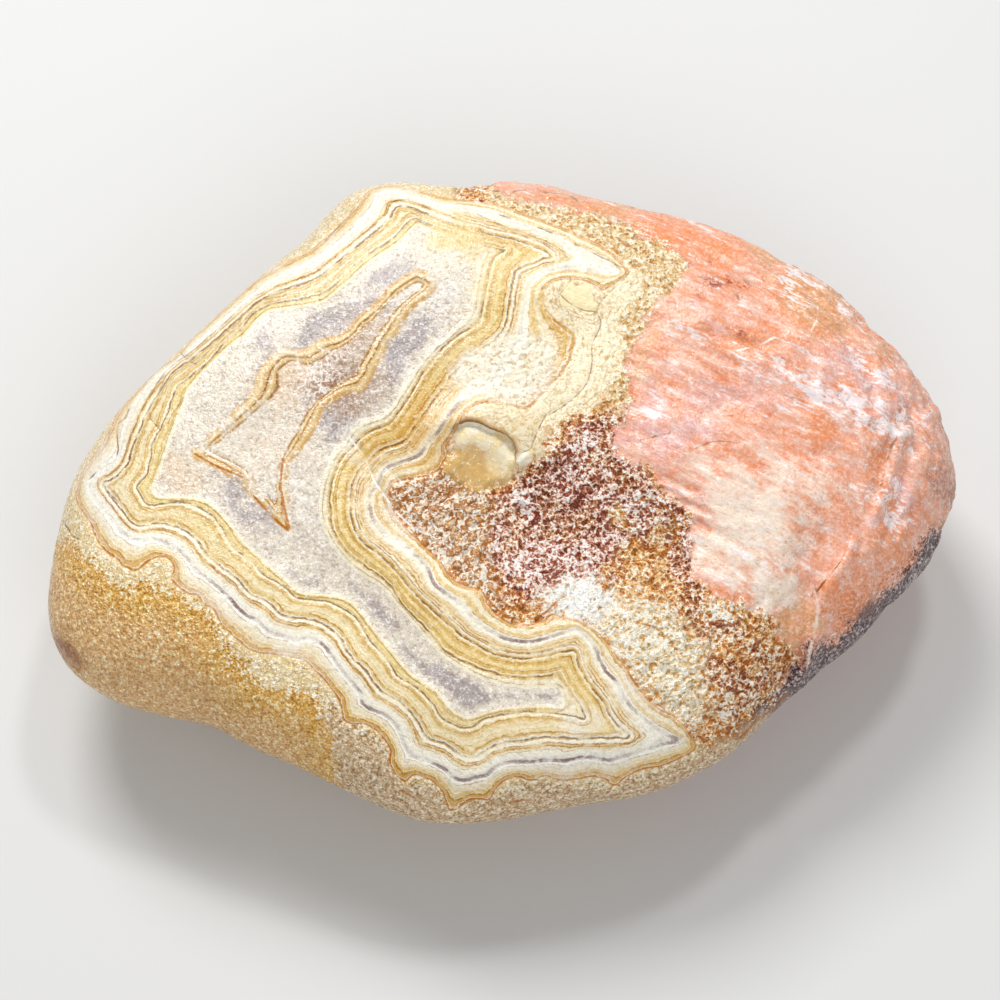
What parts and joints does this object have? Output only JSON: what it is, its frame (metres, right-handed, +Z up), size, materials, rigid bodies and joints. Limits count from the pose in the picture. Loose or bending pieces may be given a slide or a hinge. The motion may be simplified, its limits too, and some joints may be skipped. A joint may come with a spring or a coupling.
{
  "type": "fairburn agate",
  "caption": "Water-worn nodule of banded agate with one flattish face of fortification bands beside pink jasper, to lie on a shelf or tray.",
  "frame": {"origin": "middle of the stone's box seen from above, at the height of the surface it lies on", "axes": "+X to the pink jasper end, along the stone's length; +Y to the edge that is furthest from the viewer in the picture; +Z up out of the banded face"},
  "size_m": [0.0732, 0.0546, 0.0241],
  "materials": {
    "banded_stone": "wet, water-worn, cream and honey bands with salmon jasper"
  },
  "bodies": {
    "root": {"agate_nodule": "banded_stone"}
  },
  "joints": []
}
